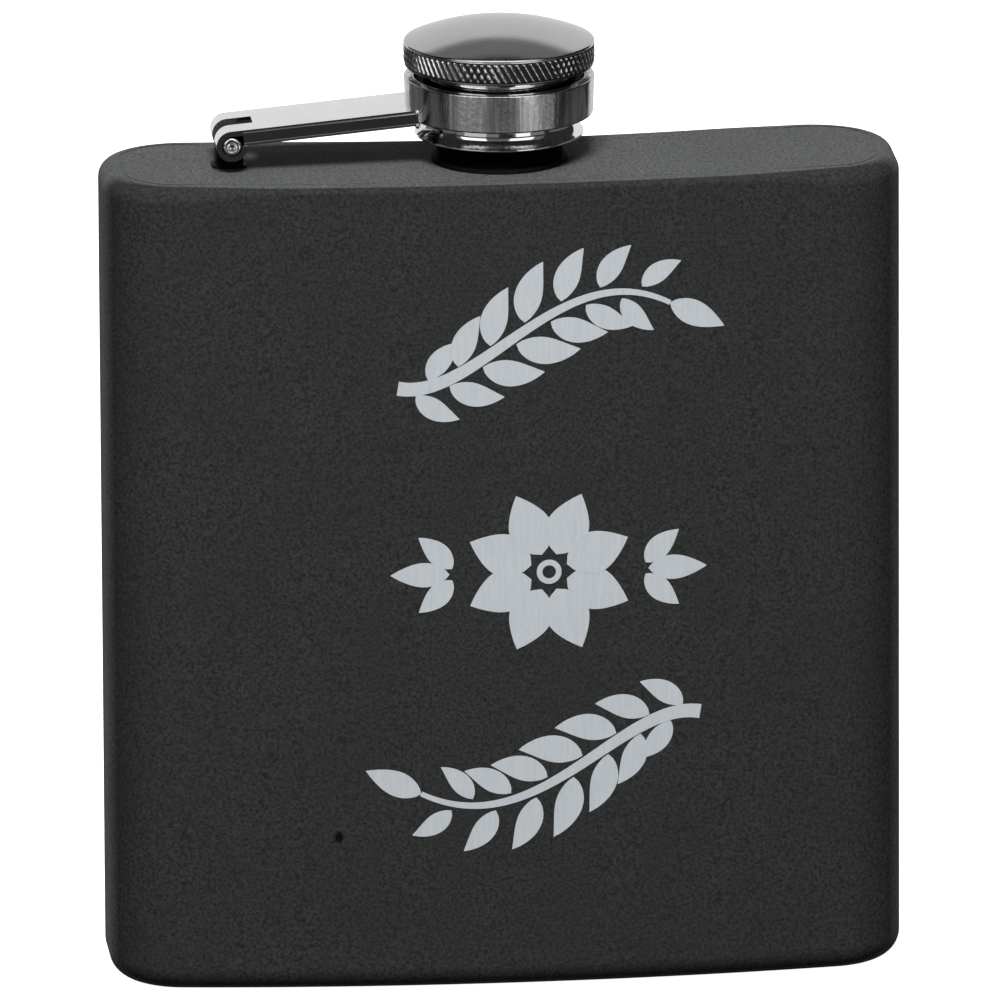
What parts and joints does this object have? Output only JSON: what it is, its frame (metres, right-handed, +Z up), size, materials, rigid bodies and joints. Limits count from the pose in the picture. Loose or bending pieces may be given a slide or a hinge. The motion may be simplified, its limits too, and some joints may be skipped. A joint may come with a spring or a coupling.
{
  "type": "hip flask",
  "caption": "Kidney-section steel hip flask with a captive screw cap on a hinged arm: the arm swings the cap clear of the mouth.",
  "frame": {"origin": "on the neck's axis, at the underside of the base", "axes": "+Z up through the mouth; -Y out of the convex front; +X to the right seen from the front, away from the cap's hinge"},
  "size_m": [0.095, 0.0266, 0.116],
  "materials": {
    "black_coat": "matte black powder coat with a very fine grain",
    "polished_steel": "polished stainless steel",
    "satin_steel": "satin stainless steel",
    "bare_steel": "plain pressed stainless steel",
    "gasket_rubber": "matte black silicone rubber"
  },
  "bodies": {
    "flask": {"body_shell": "black_coat", "base_pan": "black_coat", "shoulder_plate": "black_coat", "neck": "black_coat", "hinge_lug": "black_coat", "hinge_pin": "polished_steel"},
    "arm": {"captive_arm": "polished_steel", "captive_ring": "polished_steel"},
    "cap": {"cap_dome": "satin_steel", "cap_rim": "polished_steel", "cap_sleeve": "polished_steel", "thread_insert": "bare_steel", "cap_gasket": "gasket_rubber"}
  },
  "joints": [
    {"name": "arm_swing", "type": "hinge", "parent": "flask", "child": "arm", "pos_m": [-0.03225, 0, 0.1025], "axis": [0, -1, 0], "range_deg": [0, 180]},
    {"name": "cap_spin", "type": "hinge", "parent": "arm", "child": "cap", "pos_m": [0, 0, 0.106], "axis": [0, 0, 1], "continuous": true}
  ]
}
